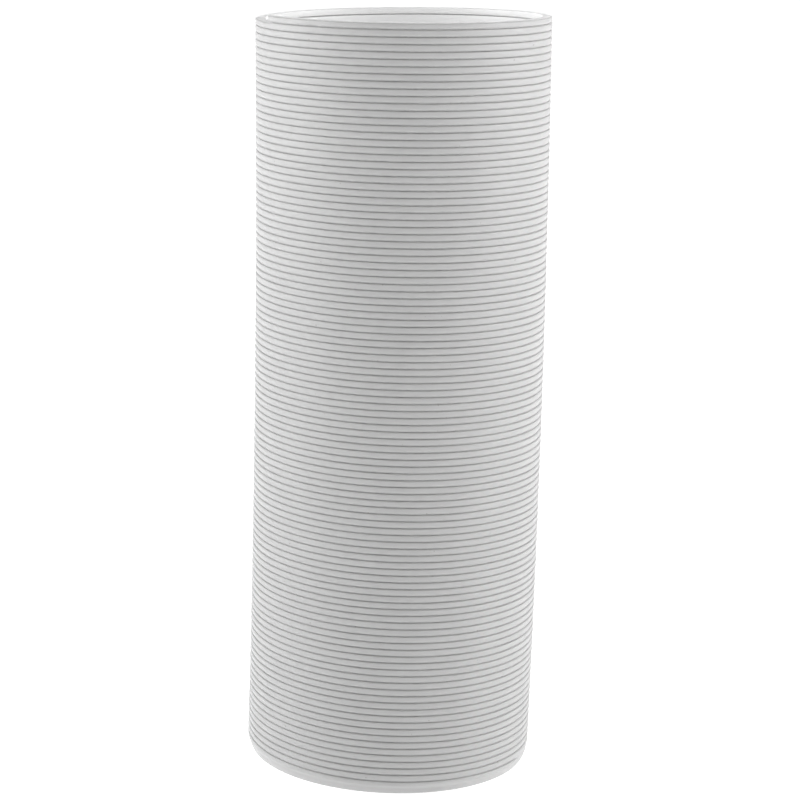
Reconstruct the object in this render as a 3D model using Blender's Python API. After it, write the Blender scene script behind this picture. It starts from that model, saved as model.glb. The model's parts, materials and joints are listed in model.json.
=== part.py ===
"""A tree guard tube: one long ribbed plastic strip wound into a left-handed spiral, shown pushed closed.

Each turn of the strip is a stiff rib. The turns are joined by a thin web that folds inward, so the tube
pulls out to about four times its closed length and bends. The tube is divided at the folds that move:
a foot of three and a half turns, then bands of five turns with a web fold below each band, and a top end
turn.

Metres, +Z up. The tube stands on z = 0 with its axis on the Z axis. The strip starts at +X at the foot
and climbs clockwise as seen from above. Turns are counted along the strip from its foot.
"""

import math

import bmesh
import bpy
from mathutils import Vector

# Driving dimensions
OUTER_RADIUS = 0.075
PITCH = 0.0035
BANDS = 21
TURNS_PER_BAND = 5
FOOT_TURNS = 3
FOOT_START_TURN = 0.5
LIP_HEIGHT = 0.0026
WALL = 0.0020
GROOVE_DEPTH = 0.0008
CREST_SHARE = 0.62
FOLD_RADIUS = 0.0695
FOLD_ROOT_HALF_HEIGHT = 0.0008
FOLD_TIP_HALF_HEIGHT = 0.0013
BOTTOM_LIP_OUTER = 0.0744
BOTTOM_LIP_INNER = 0.0722
TOP_LIP_OUTER = 0.0746
TOP_LIP_INNER = 0.0714
TOP_LIP_ROOT_OUTER = 0.0742
TOP_LIP_ROOT_INNER = 0.0730
GAP = 0.0003
SEGMENTS = 24

INNER_RADIUS = OUTER_RADIUS - WALL
GROOVE_RADIUS = OUTER_RADIUS - GROOVE_DEPTH
FOLD_ROOT_RADIUS = INNER_RADIUS - GAP
HALF_GAP_TURN = 0.5 * GAP / (2 * math.pi * OUTER_RADIUS)
FIRST_FOLD_TURN = FOOT_START_TURN + FOOT_TURNS
LAST_FOLD_TURN = FIRST_FOLD_TURN + BANDS * TURNS_PER_BAND


def rib_foot(turn):
    """Height of the rib's lower edge after so many turns of the strip."""
    return LIP_HEIGHT + PITCH * turn


TOTAL_HEIGHT = rib_foot(LAST_FOLD_TURN + 1) + LIP_HEIGHT


def on_strip(radius, turn, z):
    """A point at the strip's angle after so many turns."""
    angle = -2 * math.pi * turn
    return Vector((radius * math.cos(angle), radius * math.sin(angle), z))


def clear_scene():
    for obj in list(bpy.data.objects):
        bpy.data.objects.remove(obj, do_unlink=True)


def plastic(name, colour, roughness):
    material = bpy.data.materials.new(name)
    material.use_nodes = True
    shader = material.node_tree.nodes["Principled BSDF"]
    shader.inputs["Base Color"].default_value = (*colour, 1.0)
    shader.inputs["Roughness"].default_value = roughness
    shader.inputs["Metallic"].default_value = 0.0
    return material


def rib_plastic():
    return plastic("rib_plastic", (0.78, 0.78, 0.78), 0.42)


def web_film():
    return plastic("web_film", (0.82, 0.82, 0.82), 0.35)


def end_plastic():
    return plastic("end_plastic", (0.74, 0.74, 0.74), 0.45)


def finish_mesh(bm, name, origin, material):
    """Make the mesh from world-space geometry, with its own origin at the given point."""
    bmesh.ops.recalc_face_normals(bm, faces=bm.faces)
    bmesh.ops.translate(bm, verts=bm.verts, vec=-origin)
    mesh = bpy.data.meshes.new(name)
    bm.to_mesh(mesh)
    bm.free()
    mesh.materials.append(material)
    mesh.shade_smooth()
    mesh.set_sharp_from_angle(angle=math.radians(30))
    return mesh


def pivot(turn):
    """The point on the outer edge at -X where a band tips over the one below it."""
    return Vector((-OUTER_RADIUS, 0.0, rib_foot(turn) + 0.5 * PITCH))


def band_mesh(name, start, turns, material):
    """Turns of rib as one wall: a ribbed helix outside, a plain wall inside, a stepped edge at each end."""
    bm = bmesh.new()
    steps = turns * SEGMENTS
    half_gap = 0.5 * GAP

    def turn_at(step):
        """The strip's ends stand back from the step in the bands above and below."""
        turn = start + step / SEGMENTS
        if step in (0, SEGMENTS):
            turn += HALF_GAP_TURN
        if step in (steps, steps + SEGMENTS):
            turn -= HALF_GAP_TURN
        return turn

    def edge_height(step):
        """The free edges stand back from the bands above and below."""
        z = rib_foot(start + step / SEGMENTS)
        if step <= SEGMENTS:
            z += half_gap
        if step >= steps:
            z -= half_gap
        return z

    grooves = []
    for step in range(steps + SEGMENTS + 1):
        point = on_strip(GROOVE_RADIUS, turn_at(step), edge_height(step))
        grooves.append(bm.verts.new(point))
    crests = []
    for step in range(steps + 1):
        z = rib_foot(start + step / SEGMENTS) + CREST_SHARE * PITCH
        turn = start + step / SEGMENTS
        if step == 0:
            turn += HALF_GAP_TURN
        if step == steps:
            turn -= HALF_GAP_TURN
        crests.append(bm.verts.new(on_strip(OUTER_RADIUS, turn, z)))
    low_inner = []
    high_inner = []
    for step in range(SEGMENTS + 1):
        high = steps + step
        low_inner.append(bm.verts.new(on_strip(INNER_RADIUS, turn_at(step), edge_height(step))))
        high_inner.append(bm.verts.new(on_strip(INNER_RADIUS, turn_at(high), edge_height(high))))

    for i in range(steps):
        bm.faces.new((grooves[i], grooves[i + 1], crests[i + 1], crests[i]))
        above = i + SEGMENTS
        bm.faces.new((crests[i], crests[i + 1], grooves[above + 1], grooves[above]))
    for i in range(SEGMENTS):
        top = steps + i
        bm.faces.new((grooves[i], low_inner[i], low_inner[i + 1], grooves[i + 1]))
        bm.faces.new((grooves[top], grooves[top + 1], high_inner[i + 1], high_inner[i]))
    for i in range(1, SEGMENTS - 1):
        bm.faces.new((low_inner[i], high_inner[i], high_inner[i + 1], low_inner[i + 1]))
    bm.faces.new((low_inner[0], low_inner[-1], high_inner[0], high_inner[1], low_inner[1]))
    bm.faces.new((low_inner[-2], high_inner[-2], high_inner[-1], high_inner[0], low_inner[-1]))
    bm.faces.new((grooves[0], crests[0], grooves[SEGMENTS], low_inner[-1], low_inner[0]))
    bm.faces.new((grooves[steps], high_inner[0], high_inner[-1], grooves[-1], crests[-1]))
    return finish_mesh(bm, name, pivot(start), material)


def web_mesh(material):
    """One turn of web folded up behind the ribs: a tapered section swept once round, rising by the pitch."""
    bm = bmesh.new()
    start = FIRST_FOLD_TURN
    z = rib_foot(start)
    section = [
        on_strip(FOLD_ROOT_RADIUS, start, z - FOLD_ROOT_HALF_HEIGHT),
        on_strip(FOLD_ROOT_RADIUS, start, z + FOLD_ROOT_HALF_HEIGHT),
        on_strip(FOLD_RADIUS, start, z + FOLD_TIP_HALF_HEIGHT),
        on_strip(FOLD_RADIUS, start, z - FOLD_TIP_HALF_HEIGHT),
    ]
    face = bm.faces.new([bm.verts.new(point) for point in section])
    bmesh.ops.spin(
        bm,
        geom=[face, *face.edges, *face.verts],
        cent=(0.0, 0.0, z),
        axis=(0.0, 0.0, 1.0),
        dvec=(0.0, 0.0, PITCH / SEGMENTS),
        angle=-2 * math.pi,
        steps=SEGMENTS,
        use_merge=False,
        use_duplicate=False,
    )
    return finish_mesh(bm, "web_fold", pivot(start), material)


def end_turn_mesh(name, flat_z, flat_radii, stepped_radii, first_turn, side, material):
    """An end of the tube: a level rim, and a stepped edge that follows the strip.

    side is -1 where the level rim is below the stepped edge, and 1 where it is above it.
    """
    bm = bmesh.new()
    flat = [[], []]
    stepped = [[], []]
    for skin in (0, 1):
        for step in range(SEGMENTS):
            turn = first_turn + step / SEGMENTS
            flat[skin].append(bm.verts.new(on_strip(flat_radii[skin], turn, flat_z)))
        for step in range(SEGMENTS + 1):
            turn = first_turn + step / SEGMENTS
            z = rib_foot(turn) + side * 0.5 * GAP
            if step in (0, SEGMENTS):
                turn += side * HALF_GAP_TURN
            stepped[skin].append(bm.verts.new(on_strip(stepped_radii[skin], turn, z)))
    last = SEGMENTS - 1
    for i in range(SEGMENTS):
        after = (i + 1) % SEGMENTS
        bm.faces.new((flat[0][i], flat[0][after], flat[1][after], flat[1][i]))
        bm.faces.new((stepped[0][i], stepped[0][i + 1], stepped[1][i + 1], stepped[1][i]))
    for skin in (0, 1):
        rim, edge = flat[skin], stepped[skin]
        for i in range(1, last):
            bm.faces.new((rim[i], rim[i + 1], edge[i + 1], edge[i]))
        if side < 0:
            bm.faces.new((rim[0], rim[1], edge[1], edge[0]))
            bm.faces.new((rim[last], rim[0], edge[0], edge[-1], edge[last]))
        else:
            bm.faces.new((rim[0], rim[1], edge[1], edge[0], edge[-1]))
            bm.faces.new((rim[last], rim[0], edge[-1], edge[last]))
    bm.faces.new((stepped[0][0], stepped[0][SEGMENTS], stepped[1][SEGMENTS], stepped[1][0]))
    return finish_mesh(bm, name, Vector((0.0, 0.0, flat_z)), material)


def bottom_end_mesh(material):
    return end_turn_mesh(
        "bottom_end_turn",
        0.0,
        (BOTTOM_LIP_OUTER, BOTTOM_LIP_INNER),
        (GROOVE_RADIUS, INNER_RADIUS),
        FOOT_START_TURN,
        -1,
        material,
    )


def top_end_mesh(material):
    return end_turn_mesh(
        "top_end_turn",
        TOTAL_HEIGHT,
        (TOP_LIP_OUTER, TOP_LIP_INNER),
        (TOP_LIP_ROOT_OUTER, TOP_LIP_ROOT_INNER),
        LAST_FOLD_TURN,
        1,
        material,
    )


def place(name, mesh, origin, carrier, collection):
    """Add an object with its origin at a world point, carried by an (object, origin) pair, and return such a pair."""
    obj = bpy.data.objects.new(name, mesh)
    collection.objects.link(obj)
    parent, parent_origin = carrier
    obj.parent = parent
    obj.location = origin - parent_origin
    return obj, origin


def build():
    clear_scene()
    collection = bpy.data.collections.new("tree_guard_tube")
    bpy.context.scene.collection.children.link(collection)
    rib, web, end = rib_plastic(), web_film(), end_plastic()
    foot_mesh = band_mesh("foot_band", FOOT_START_TURN, FOOT_TURNS, rib)
    rib_mesh = band_mesh("rib_band", FIRST_FOLD_TURN, TURNS_PER_BAND, rib)
    fold_mesh = web_mesh(web)
    ground = Vector((0.0, 0.0, 0.0))
    carrier = place("bottom_end_turn", bottom_end_mesh(end), ground, (None, ground), collection)
    place("foot_band", foot_mesh, pivot(FOOT_START_TURN), carrier, collection)
    for number in range(1, BANDS + 1):
        joint = pivot(FIRST_FOLD_TURN + (number - 1) * TURNS_PER_BAND)
        carrier = place(f"web_fold_{number:02d}", fold_mesh, joint, carrier, collection)
        carrier = place(f"rib_band_{number:02d}", rib_mesh, joint, carrier, collection)
    top = Vector((0.0, 0.0, TOTAL_HEIGHT))
    place("top_end_turn", top_end_mesh(end), top, carrier, collection)


build()
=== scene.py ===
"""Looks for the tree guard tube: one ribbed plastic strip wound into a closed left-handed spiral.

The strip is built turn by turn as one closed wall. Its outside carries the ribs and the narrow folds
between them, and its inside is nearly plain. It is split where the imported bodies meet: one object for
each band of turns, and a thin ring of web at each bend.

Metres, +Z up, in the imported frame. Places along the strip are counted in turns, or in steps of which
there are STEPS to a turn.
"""

import json
import math

import bpy
import numpy as np
from mathutils import Matrix, Vector


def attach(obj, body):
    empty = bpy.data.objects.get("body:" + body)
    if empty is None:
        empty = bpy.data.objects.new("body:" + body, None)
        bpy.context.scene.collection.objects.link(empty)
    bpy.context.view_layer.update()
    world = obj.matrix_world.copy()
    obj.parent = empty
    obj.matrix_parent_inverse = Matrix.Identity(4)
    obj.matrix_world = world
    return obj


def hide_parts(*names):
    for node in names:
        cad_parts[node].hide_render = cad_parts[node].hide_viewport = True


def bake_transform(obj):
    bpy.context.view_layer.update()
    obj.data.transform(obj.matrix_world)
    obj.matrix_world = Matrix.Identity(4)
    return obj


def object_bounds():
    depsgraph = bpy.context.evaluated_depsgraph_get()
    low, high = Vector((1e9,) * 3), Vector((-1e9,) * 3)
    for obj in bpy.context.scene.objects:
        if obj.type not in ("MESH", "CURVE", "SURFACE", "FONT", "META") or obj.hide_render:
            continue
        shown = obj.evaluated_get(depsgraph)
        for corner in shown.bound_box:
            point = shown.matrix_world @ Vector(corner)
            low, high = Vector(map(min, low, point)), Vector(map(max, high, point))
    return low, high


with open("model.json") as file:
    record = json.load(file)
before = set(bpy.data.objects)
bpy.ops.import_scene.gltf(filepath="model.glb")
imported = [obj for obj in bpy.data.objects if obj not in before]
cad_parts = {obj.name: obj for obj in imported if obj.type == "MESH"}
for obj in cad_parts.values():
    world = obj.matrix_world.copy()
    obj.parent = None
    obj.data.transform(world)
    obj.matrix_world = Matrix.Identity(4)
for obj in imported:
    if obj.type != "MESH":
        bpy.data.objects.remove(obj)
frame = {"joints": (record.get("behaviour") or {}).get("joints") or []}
CAD_LOW, CAD_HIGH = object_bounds()

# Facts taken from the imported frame
JOINTS = {joint["name"]: joint for joint in frame["joints"]}
BANDS = sum(name.startswith("bend_") for name in JOINTS)
BEND_HEIGHTS = [JOINTS[f"bend_{number:02d}"]["pos_m"][2] for number in range(1, BANDS + 1)]
RADIUS = 0.5 * (CAD_HIGH.x - CAD_LOW.x)
MIDDLE = 0.5 * (CAD_LOW.z + CAD_HIGH.z)

# The winding. The strip's start and end, and where its free top turn begins, are in steps
TURNS_PER_BAND = 5
FOOT_TURNS = 3.5
PITCH = (BEND_HEIGHTS[1] - BEND_HEIGHTS[0]) / TURNS_PER_BAND
FOOT_HEIGHT = BEND_HEIGHTS[0] - PITCH * (FOOT_TURNS + 0.5)
STEPS = 120
STRIP_START = 8
STRIP_END = 13131
TOP_START = 13020

# How far the real tube strays from a perfect helix
BOW = -0.0893
PITCH_STRAY = 0.00007
RADIUS_STRAY = 0.00006
RIB_INSET = 0.00021
WIDE_GROOVE_TURN = 24.3
WIDE_GROOVE = 0.00022
WIDE_GROOVE_LENGTH = 3.0
# How sharply the wide groove opens and how sharply the turns above it settle back, both per turn
WIDE_GROOVE_ONSET = 8
WIDE_GROOVE_SETTLING = 2
# Below this height the grooves' stray fades out, so that the foot stands level
LEVEL_HEIGHT = 0.002
STRAY_SEED = 3
# Points shallower than this are on the rib's face, which swells and shrinks a little along the strip
FACE_DEPTH = 0.001
SWELL_SEED = 11

# Outer skin over one pitch: depth behind the outer radius, height above the rib's foot, and share of the
# way from the fold below (0) through the rib (1) to the fold above (2)
OUTER_ROWS = (
    (0.00440, 0.00004, 0.0),
    (0.00200, 0.00004, 0.5),
    (0.00080, 0.00004, 1.0),
    (0.00073, 0.00014, 1.0),
    (0.00058, 0.00037, 1.0),
    (0.00043, 0.00060, 1.0),
    (0.00028, 0.00084, 1.0),
    (0.00014, 0.00108, 1.0),
    (0.00010, 0.00150, 1.0),
    (0.00008, 0.00200, 1.0),
    (0.00000, 0.00245, 1.0),
    (0.00001, 0.00286, 1.0),
    (0.00009, 0.00312, 1.0),
    (0.00026, 0.00330, 1.0),
    (0.00056, 0.00343, 1.0),
    (0.00200, 0.00346, 1.5),
    (0.00440, 0.00346, 2.0),
)
INNER_ROWS = (
    (0.00535, 0.00050, 0.0),
    (0.00550, 0.00115, 0.6),
    (0.00550, 0.00235, 1.4),
    (0.00535, 0.00300, 2.0),
)
# The first rows of the lowest turn: depth, share of the way from the rib's foot to the ground, and lift
LOWEST_OUTER = (
    (0.00120, 0.98, 0.0),
    (0.00070, 1.00, 0.0),
    (0.00040, 0.93, 0.0),
    (0.00036, 0.66, 0.0),
    (0.00044, 0.38, 0.0),
    (0.00056, 0.14, 0.0),
    (0.00042, 0.00, 0.0008),
)
LOWEST_INNER = ((0.00525, 0.95, 0.0),)
# How far the tube draws in at the foot, the height that this begins at, and how it curves
FOOT_TAPER = 0.0019
FOOT_TAPER_HEIGHT = 0.0050
FOOT_TAPER_CURVE = 1.3
# The last rows of the highest turn, where the rib rounds over into its flat free edge
HIGHEST_OUTER = (
    (0.00005, 0.00264),
    (0.00016, 0.00282),
    (0.00040, 0.00295),
    (0.00100, 0.00310),
    (0.00250, 0.00337),
    (0.00420, 0.00338),
)
# The highest turn stands clear of the lining below it
TOP_OUTER_START = ((0.00440, 0.00002), (0.00200, 0.00002))
TOP_INNER = ((0.00475, 0.00004), (0.00510, 0.00040), (0.00515, 0.00230), (0.00490, 0.00310))
# The lower corner of the strip's cut end at the top is rounded off: its height, and its length in turns
END_CORNER_HEIGHT = 0.0026
END_CORNER_LENGTH = 0.0065
# The strip thins towards that end: how deep it is there, and how much deeper with each step back
END_THICKNESS = 0.0020
THINNING = 0.0009
# Small dents in the rib's face: strip position in turns, half width in turns, depth
BOTTOM_NICK = (0.197, 0.010, 0.0005)
TOP_NICK = (109.350, 0.004, 0.0006)
NICKED_ROWS = slice(4, 9)

# Faces that meet at more than this keep a crisp edge
CRISP_ANGLE = math.radians(50)

# The plastic's fine texture: about how many times a metre each kind of variation repeats
CLOUD_SCALE = 45.0
DUST_SCALE = 620.0
POLISH_SCALE = 160.0
GRAIN_SCALE = 900.0
GRAIN_STRENGTH = 0.05
GRAIN_HEIGHT = 0.0003
# The mix node's sockets for colours, which share their names with its sockets for numbers
MIX_FACTOR = 0
MIX_FIRST = 6
MIX_SECOND = 7
MIX_RESULT = 2

# How much the floor glows close to the tube and further out, and where it changes from one to the other
FLOOR_GLOW_NEAR = 0.60
FLOOR_GLOW_FAR = 0.97
FLOOR_NEAR = 0.8
FLOOR_FAR = 2.4

# The camera, in metres and radians, with its lens in millimetres
CAMERA_DISTANCE = 1.26722
CAMERA_HEIGHT = 0.46993
CAMERA_DOWN = 0.21831
CAMERA_ASIDE = 0.00067
CAMERA_ROLL = 0.02295
CAMERA_LENS = 112.317


# ---------------------------------------------------------------------------------------------- the strip


def wave(turns, seed, cycles):
    """A smooth wandering value between about -1 and 1 along the strip."""
    random = np.random.RandomState(seed)
    total = np.zeros_like(turns)
    for rate in cycles:
        total += np.sin(2 * math.pi * (rate * turns + random.rand())) * random.uniform(0.6, 1.0)
    return total / len(cycles)


def groove_stray(turns):
    """How far the groove below the strip stands from its place on a perfect helix.

    The wide groove opens over half a turn, and the turns above it settle back over about two.
    """
    stray = PITCH_STRAY * wave(turns, STRAY_SEED, (0.11, 0.43, 0.83, 1.37, 2.61))
    opened = WIDE_GROOVE / (1 + np.exp(-(turns - WIDE_GROOVE_TURN) * WIDE_GROOVE_ONSET))
    past = turns - WIDE_GROOVE_TURN - WIDE_GROOVE_LENGTH
    settled = 1 / (1 + np.exp(past * WIDE_GROOVE_SETTLING))
    return stray + opened * settled


def dent(turns, nick):
    """How much deeper the rib's face lies near a small dent."""
    centre, half_width, depth = nick
    return depth * np.exp(-(((turns - centre) / half_width) ** 2))


def bowed(points):
    """The tube leans through a slight bow, which is least at its middle height."""
    above = points[..., 2] - MIDDLE
    aside = points[..., 0]
    bent = points.copy()
    bent[..., 0] += 0.5 * BOW * above**2
    bent[..., 2] -= BOW * above * aside
    return bent


def end_setback(steps, height):
    """How far back the rows of the strip's cut end stand, in turns, which rounds off its lower corner."""
    low = np.clip(1 - height / END_CORNER_HEIGHT, 0.0, 1.0)
    return np.where(steps == STRIP_END, END_CORNER_LENGTH * (1 - np.sqrt(1 - low**2)), 0.0)


def strip_points(steps, rows, taper=0.0):
    """World points of the strip, a line of rows for each step. rows holds the depth and height of each."""
    depth, height = rows[..., 0], rows[..., 1]
    turns = (steps[:, None] / STEPS) - end_setback(steps[:, None], height)
    part = np.clip(height / PITCH, 0.0, 1.0)
    stray = groove_stray(turns) * (1 - part) + groove_stray(turns + 1) * part
    ground = np.clip((FOOT_HEIGHT + PITCH * turns + height) / LEVEL_HEIGHT, 0.0, 1.0)
    above_ground = FOOT_HEIGHT + PITCH * turns + height + stray * ground
    drawn_in = taper * np.clip(1 - above_ground / FOOT_TAPER_HEIGHT, 0.0, 1.0) ** FOOT_TAPER_CURVE
    swell = RADIUS_STRAY * wave(turns, SWELL_SEED, (0.17, 0.71, 1.93)) * (depth < FACE_DEPTH)
    radius = RADIUS - RIB_INSET - RADIUS_STRAY - depth - drawn_in + swell
    angle = -2 * math.pi * turns
    points = np.stack([radius * np.cos(angle), radius * np.sin(angle), above_ground], axis=-1)
    return bowed(points)


def profile(table, steps):
    """The same rows at every step."""
    rows = np.array([row[:2] for row in table])
    return np.repeat(rows[None], len(steps), axis=0)


def down_to_ground(table, steps):
    """Rows of the lowest turn, which reach from the rib's foot down to the ground."""
    depth, share, lift = np.array(table).T
    foot = FOOT_HEIGHT + PITCH * steps[:, None] / STEPS
    height = lift - share * foot
    return np.stack([np.broadcast_to(depth, height.shape), height], axis=-1)


def skin_rows(steps):
    """Outer and inner rows at each step, with the free edges of the lowest and the highest turn."""
    outer = profile(OUTER_ROWS, steps)
    inner = profile(INNER_ROWS, steps)
    lowest = steps <= STRIP_START + STEPS
    highest = steps >= STRIP_END - STEPS
    top = steps >= TOP_START
    outer[lowest, : len(LOWEST_OUTER)] = down_to_ground(LOWEST_OUTER, steps[lowest])
    inner[lowest, : len(LOWEST_INNER)] = down_to_ground(LOWEST_INNER, steps[lowest])
    outer[highest, -len(HIGHEST_OUTER) :] = HIGHEST_OUTER
    outer[top, : len(TOP_OUTER_START)] = TOP_OUTER_START
    inner[top] = TOP_INNER
    nick = dent(steps / STEPS, BOTTOM_NICK) + dent(steps / STEPS, TOP_NICK)
    outer[:, NICKED_ROWS, 0] += nick[:, None]
    thickness = END_THICKNESS + THINNING * (STRIP_END - steps[:, None])
    for skin in (outer, inner):
        skin[..., 0] = np.minimum(skin[..., 0], thickness)
    return outer, inner


def quads(first, second, first_next, second_next):
    """Faces between two lines of vertex numbers and the same lines one step on."""
    return np.stack([first, second, second_next, first_next], axis=-1).reshape(-1, 4)


def strip_wall(first, last):
    """A closed wall of turns from one step of the strip to another.

    Returns its points, its faces in groups (ribs, lining, creases between ribs, seams in the lining, lower
    edge, upper edge), the faces at its two ends, and the vertex numbers of its outer rows.
    """
    steps = np.arange(first, last + 1)
    outer_rows, inner_rows = skin_rows(steps)
    outer_points = strip_points(steps, outer_rows, FOOT_TAPER)
    inner_points = strip_points(steps, inner_rows)
    outer_count, inner_count = len(OUTER_ROWS), len(INNER_ROWS)
    outer = np.arange(len(steps) * outer_count).reshape(len(steps), outer_count)
    inner = outer.size + np.arange(len(steps) * inner_count).reshape(len(steps), inner_count)
    points = np.concatenate([outer_points.reshape(-1, 3), inner_points.reshape(-1, 3)])

    ribs = quads(outer[:-1, :-1], outer[:-1, 1:], outer[1:, :-1], outer[1:, 1:])
    lining = quads(inner[:-1, 1:], inner[:-1, :-1], inner[1:, 1:], inner[1:, :-1])
    low, high = slice(0, -STEPS), slice(STEPS, None)
    creases = quads(outer[low, -1][:-1], outer[high, 0][:-1], outer[low, -1][1:], outer[high, 0][1:])
    seams = quads(inner[high, 0][:-1], inner[low, -1][:-1], inner[high, 0][1:], inner[low, -1][1:])
    under_outer, under_inner = outer[: STEPS + 1, 0], inner[: STEPS + 1, 0]
    over_outer, over_inner = outer[-STEPS - 1 :, -1], inner[-STEPS - 1 :, -1]
    under = quads(under_inner[:-1], under_outer[:-1], under_inner[1:], under_outer[1:])
    over = quads(over_outer[:-1], over_inner[:-1], over_outer[1:], over_inner[1:])
    start = [*outer[0], *inner[0, ::-1]]
    end = [*inner[-1], *outer[-1, ::-1]]
    if len(steps) > STEPS:
        start[outer_count:outer_count] = [outer[STEPS, 0], inner[STEPS, 0]]
        end += [outer[-1 - STEPS, -1], inner[-1 - STEPS, -1]]
    faces = [ribs, lining, creases, seams, under, over]
    return points, faces, [start[::-1], end[::-1]], outer


def make_object(name, points, faces, materials, face_materials):
    """A smooth shaded mesh object with crisp folds."""
    mesh = bpy.data.meshes.new(name)
    mesh.from_pydata(points.tolist(), [], faces)
    for material in materials:
        mesh.materials.append(material)
    mesh.polygons.foreach_set("material_index", face_materials)
    mesh.shade_smooth()
    mesh.set_sharp_from_angle(angle=CRISP_ANGLE)
    mesh.update()
    obj = bpy.data.objects.new(name, mesh)
    bpy.context.scene.collection.objects.link(obj)
    return obj


def wall_object(name, first, last, materials):
    """A wall of turns as an object. materials are for its ribs, the folds between them and its lining."""
    points, grids, ends, outer = strip_wall(first, last)
    rib_row = [row[2] == 1.0 for row in OUTER_ROWS]
    face_is_rib = np.array([a and b for a, b in zip(rib_row, rib_row[1:])])
    rib_faces = np.tile(face_is_rib, len(outer) - 1)
    faces = []
    marks = []
    grid_marks = [1 - rib_faces.astype(int), 2, 1, 2, 1, 1]
    for grid, mark in zip(grids, grid_marks):
        faces += grid.tolist()
        marks += np.broadcast_to(mark, len(grid)).tolist()
    faces += [[int(v) for v in end] for end in ends]
    marks += [0] * len(ends)
    return make_object(name, points, faces, materials, marks)


def build_foot(materials):
    """The lowest turns, with the strip's free lower edge and its cut start, which stand on the ground."""
    obj = wall_object("foot_turns", STRIP_START, round(FOOT_TURNS * STEPS), materials)
    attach(obj, "bottom_end")
    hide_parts("bottom_end_turn", "foot_band")


def build_band(number, materials):
    """Five turns of rib and web."""
    first = round((FOOT_TURNS + (number - 1) * TURNS_PER_BAND) * STEPS)
    last = first + TURNS_PER_BAND * STEPS
    obj = wall_object(f"rib_turns_{number:02d}", first, last, materials)
    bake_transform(obj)
    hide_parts(f"rib_band_{number:02d}")


def build_fold(number, web):
    """The ring of web between two bands."""
    first = round((FOOT_TURNS + (number - 1) * TURNS_PER_BAND) * STEPS)
    steps = np.arange(first, first + STEPS + 1)
    outer_below, inner_below = skin_rows(steps - STEPS)
    outer_above, inner_above = skin_rows(steps)
    corners = [
        strip_points(steps - STEPS, outer_below[:, -1:])[:, 0],
        strip_points(steps, outer_above[:, :1])[:, 0],
        strip_points(steps, inner_above[:, :1])[:, 0],
        strip_points(steps - STEPS, inner_below[:, -1:])[:, 0],
    ]
    cuts = (0.0, 1 / 3, 2 / 3, 1.0)
    lines = [corners[0] * (1 - cut) + corners[1] * cut for cut in cuts]
    lines += [corners[2] * cut + corners[3] * (1 - cut) for cut in reversed(cuts)]
    obj = swept_loop(f"web_turn_{number:02d}", lines, web)
    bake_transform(obj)
    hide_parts(f"web_fold_{number:02d}")


def swept_loop(name, lines, material):
    """A closed solid from the lines that its section's corners follow."""
    grid = np.stack(lines, axis=1)
    count, corners = grid.shape[:2]
    ids = np.arange(count * corners).reshape(count, corners)
    around = np.roll(ids, -1, axis=1)
    faces = quads(ids[:-1], around[:-1], ids[1:], around[1:]).tolist()
    faces.append(ids[0, ::-1].tolist())
    faces.append(ids[-1].tolist())
    return make_object(name, grid.reshape(-1, 3), faces, [material], [0] * len(faces))


def build_top(materials):
    """The last turn of the strip, with its free upper edge and its cut end."""
    obj = wall_object("top_turn", TOP_START, STRIP_END, materials)
    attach(obj, f"band_{BANDS:02d}")
    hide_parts("top_end_turn")


# ---------------------------------------------------------------------------------------------- materials


def link(tree, source, output, target, socket):
    """Join one node's output to another's input, each given by name or number."""
    tree.links.new(source.outputs[output], target.inputs[socket])


def noise_node(tree, coordinates, scale, detail):
    """A noise that is fixed to the object."""
    node = tree.nodes.new("ShaderNodeTexNoise")
    node.inputs["Scale"].default_value = scale
    node.inputs["Detail"].default_value = detail
    link(tree, coordinates, "Object", node, "Vector")
    return node


def ramp_node(tree, source, stops):
    """A ramp from a noise value to greys or colours."""
    node = tree.nodes.new("ShaderNodeValToRGB")
    node.color_ramp.elements[0].position = stops[0][0]
    node.color_ramp.elements[0].color = (*stops[0][1], 1)
    node.color_ramp.elements[1].position = stops[1][0]
    node.color_ramp.elements[1].color = (*stops[1][1], 1)
    link(tree, source, "Fac", node, "Fac")
    return node


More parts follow.
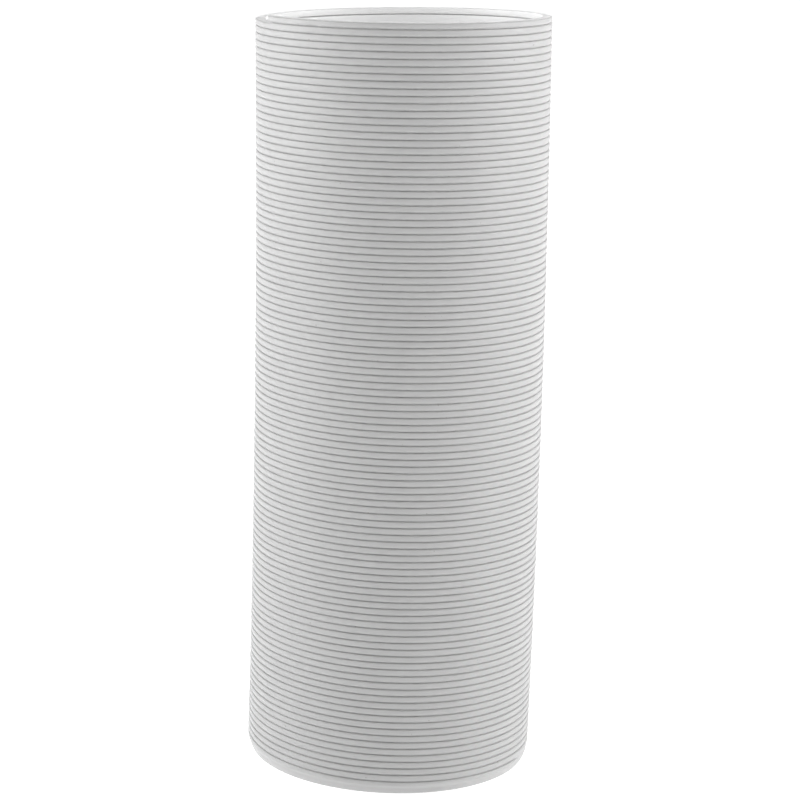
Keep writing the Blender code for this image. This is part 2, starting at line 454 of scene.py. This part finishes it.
def polypropylene(name, shade, roughness, scatter, reach, painted_glow):
    """Satin natural white polypropylene: faint flow clouds, a fine grain, and a rare speck of dust.

    The last argument is a painted glow: an even white emission that stands in for the light that a thin
    wall passes on from its other side.
    """
    material = bpy.data.materials.new(name)
    material.use_nodes = True
    tree = material.node_tree
    shader = tree.nodes["Principled BSDF"]
    shader.inputs["Metallic"].default_value = 0.0
    shader.inputs["IOR"].default_value = 1.49
    shader.inputs["Subsurface Weight"].default_value = scatter
    shader.inputs["Subsurface Radius"].default_value = (1.0, 1.0, 1.0)
    shader.inputs["Subsurface Scale"].default_value = reach
    # Painted glow: the surface gives off even white light of its own, in place of light that a thin wall
    # passes on.
    shader.inputs["Emission Color"].default_value = (1, 1, 1, 1)
    shader.inputs["Emission Strength"].default_value = painted_glow
    coordinates = tree.nodes.new("ShaderNodeTexCoord")

    clouds = noise_node(tree, coordinates, CLOUD_SCALE, 3.0)
    low, high = shade * 0.985, min(shade * 1.012, 0.98)
    cloud_ramp = ramp_node(tree, clouds, ((0.3, (low, low, low)), (0.7, (high, high, high * 0.998))))
    dust = noise_node(tree, coordinates, DUST_SCALE, 0.0)
    dust_ramp = ramp_node(tree, dust, ((0.865, (1.0, 1.0, 1.0)), (0.89, (0.72, 0.70, 0.67))))
    colour = tree.nodes.new("ShaderNodeMix")
    colour.data_type = "RGBA"
    colour.blend_type = "MULTIPLY"
    colour.inputs[MIX_FACTOR].default_value = 1.0
    link(tree, cloud_ramp, "Color", colour, MIX_FIRST)
    link(tree, dust_ramp, "Color", colour, MIX_SECOND)
    link(tree, colour, MIX_RESULT, shader, "Base Color")

    polish = noise_node(tree, coordinates, POLISH_SCALE, 2.0)
    glossy, dull = roughness - 0.04, roughness + 0.05
    polish_ramp = ramp_node(tree, polish, ((0.3, (glossy, glossy, glossy)), (0.7, (dull, dull, dull))))
    link(tree, polish_ramp, "Color", shader, "Roughness")

    grain = noise_node(tree, coordinates, GRAIN_SCALE, 2.0)
    bump = tree.nodes.new("ShaderNodeBump")
    bump.inputs["Strength"].default_value = GRAIN_STRENGTH
    bump.inputs["Distance"].default_value = GRAIN_HEIGHT
    link(tree, grain, "Fac", bump, "Height")
    link(tree, bump, "Normal", shader, "Normal")
    return material


def pale_material(name, glow):
    """A plain pale surface that is lit almost to white."""
    material = bpy.data.materials.new(name)
    material.use_nodes = True
    shader = material.node_tree.nodes["Principled BSDF"]
    shader.inputs["Base Color"].default_value = (0.80, 0.80, 0.80, 1)
    shader.inputs["Roughness"].default_value = 0.9
    shader.inputs["Specular IOR Level"].default_value = 0.1
    shader.inputs["Emission Color"].default_value = (1, 1, 1, 1)
    shader.inputs["Emission Strength"].default_value = glow
    return material


# ---------------------------------------------------------------------------------------------- the studio


def stage_sheet(name, points, faces, material):
    """A piece of the studio, which isn't part of the object."""
    mesh = bpy.data.meshes.new(name)
    mesh.from_pydata(points, [], faces)
    mesh.materials.append(material)
    obj = bpy.data.objects.new(name, mesh)
    bpy.context.scene.collection.objects.link(obj)
    return obj


def build_floor(height):
    """A wide pale floor. It glows more further out, where the lights reach it less."""
    size = 40.0
    points = [(x, y, height) for x, y in ((-size, -size), (size, -size), (size, size), (-size, size))]
    material = pale_material("floor", FLOOR_GLOW_NEAR)
    tree = material.node_tree
    place = tree.nodes.new("ShaderNodeTexCoord")
    distance = tree.nodes.new("ShaderNodeVectorMath")
    distance.operation = "LENGTH"
    glow = tree.nodes.new("ShaderNodeMapRange")
    glow.inputs["From Min"].default_value = FLOOR_NEAR
    glow.inputs["From Max"].default_value = FLOOR_FAR
    glow.inputs["To Min"].default_value = FLOOR_GLOW_NEAR
    glow.inputs["To Max"].default_value = FLOOR_GLOW_FAR
    link(tree, place, "Object", distance, 0)
    link(tree, distance, "Value", glow, "Value")
    link(tree, glow, "Result", tree.nodes["Principled BSDF"], "Emission Strength")
    stage_sheet("floor", points, [(0, 1, 2, 3)], material)


def build_reflector(height):
    """A tall pale sheet behind the tube, which lights it from the back and stays out of the picture."""
    start, bend, top, half_width = 1.6, 0.6, 4.0, 5.0
    bend_parts = 8
    line = [(start, height + 0.001)]
    for part in range(1, bend_parts + 1):
        angle = part / bend_parts * math.pi / 2
        line.append((start + bend * math.sin(angle), height + bend * (1 - math.cos(angle))))
    line.append((start + bend, height + top))
    points = [(x, y, z) for y, z in line for x in (-half_width, half_width)]
    faces = [(2 * i, 2 * i + 1, 2 * i + 3, 2 * i + 2) for i in range(len(line) - 1)]
    obj = stage_sheet("reflector", points, faces, pale_material("reflector", 0.30))
    obj.visible_camera = False


def soft_light(name, place, target, size, power):
    """A rectangular soft light that faces a point."""
    data = bpy.data.lights.new(name, "AREA")
    data.shape = "RECTANGLE"
    data.size, data.size_y = size
    data.energy = power
    obj = bpy.data.objects.new(name, data)
    obj.location = place
    obj.rotation_euler = (Vector(target) - Vector(place)).to_track_quat("-Z", "Y").to_euler()
    obj.visible_camera = False
    bpy.context.scene.collection.objects.link(obj)


def build_lights():
    """Soft lights at the sides, a little in front and a little behind, and one overhead."""
    middle = (0, 0, MIDDLE)
    for side in (-1, 1):
        soft_light("side_light", (2.3 * side, -0.56, 0.86), middle, (1.6, 2.6), 33.5)
        soft_light("back_light", (2.4 * side, 0.20, 0.96), middle, (1.4, 2.6), 19.0)
    soft_light("top_light", (0, -0.50, 3.20), middle, (2.4, 1.6), 14.0)


def build_room():
    """A room that gives little light of its own and looks white to the camera."""
    world = bpy.data.worlds.new("room")
    world.use_nodes = True
    tree = world.node_tree
    background = tree.nodes["Background"]
    background.inputs["Color"].default_value = (1, 1, 1, 1)
    path = tree.nodes.new("ShaderNodeLightPath")
    level = tree.nodes.new("ShaderNodeMapRange")
    level.inputs["To Min"].default_value = 0.02
    level.inputs["To Max"].default_value = 1.0
    link(tree, path, "Is Camera Ray", level, "Value")
    link(tree, level, "Result", background, "Strength")
    bpy.context.scene.world = world
    bpy.context.scene.view_settings.view_transform = "Standard"


def build_camera():
    """A camera in front of the tube, a little above its top and tilted down."""
    data = bpy.data.cameras.new("camera")
    data.sensor_width = 36.0
    data.lens = CAMERA_LENS
    data.clip_start = 0.05
    data.clip_end = 30.0
    data.dof.use_dof = False
    down, aside, roll = CAMERA_DOWN, CAMERA_ASIDE, CAMERA_ROLL
    ahead = Vector((math.sin(aside) * math.cos(down), math.cos(aside) * math.cos(down), -math.sin(down)))
    level = Vector((math.cos(aside), -math.sin(aside), 0))
    upward = level.cross(ahead)
    right = math.cos(roll) * level + math.sin(roll) * upward
    up = -math.sin(roll) * level + math.cos(roll) * upward
    turn = Matrix((right, up, -ahead)).transposed().to_4x4()
    obj = bpy.data.objects.new("camera", data)
    obj.matrix_world = Matrix.Translation((0, -CAMERA_DISTANCE, CAMERA_HEIGHT)) @ turn
    bpy.context.scene.collection.objects.link(obj)
    bpy.context.scene.camera = obj


def build():
    """The whole tube, then the studio around it."""
    rib = polypropylene("rib_polypropylene", 0.55, 0.40, 0.45, 0.0015, 0.0)
    # Painted light: the web is the ribs' plastic painted a little lighter, so that the folds between the
    # ribs look less shaded.
    web = polypropylene("lightened_web_polypropylene", 0.62, 0.36, 0.40, 0.0020, 0.0)
    # Painted light: the lining is the ribs' plastic painted much lighter and given a painted glow, to stand
    # in for light that the thin wall passes on from outside.
    lining = polypropylene("lit_lining_polypropylene", 0.85, 0.36, 0.60, 0.0030, 0.17)
    # Painted highlight: the top turn's free edge and folds use a lighter copy of the ribs' plastic with a
    # faint painted glow, so that the edge looks lit.
    lit_rim = polypropylene("lit_rim_polypropylene", 0.74, 0.40, 0.50, 0.0020, 0.07)
    materials = [rib, web, lining]
    build_foot(materials)
    for number in range(1, BANDS + 1):
        build_band(number, materials)
        build_fold(number, web)
    build_top([rib, lit_rim, lining])
    low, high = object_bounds()
    ground = min(low.z, CAD_LOW.z)
    build_floor(ground)
    build_reflector(ground)
    build_lights()
    build_room()
    build_camera()


build()
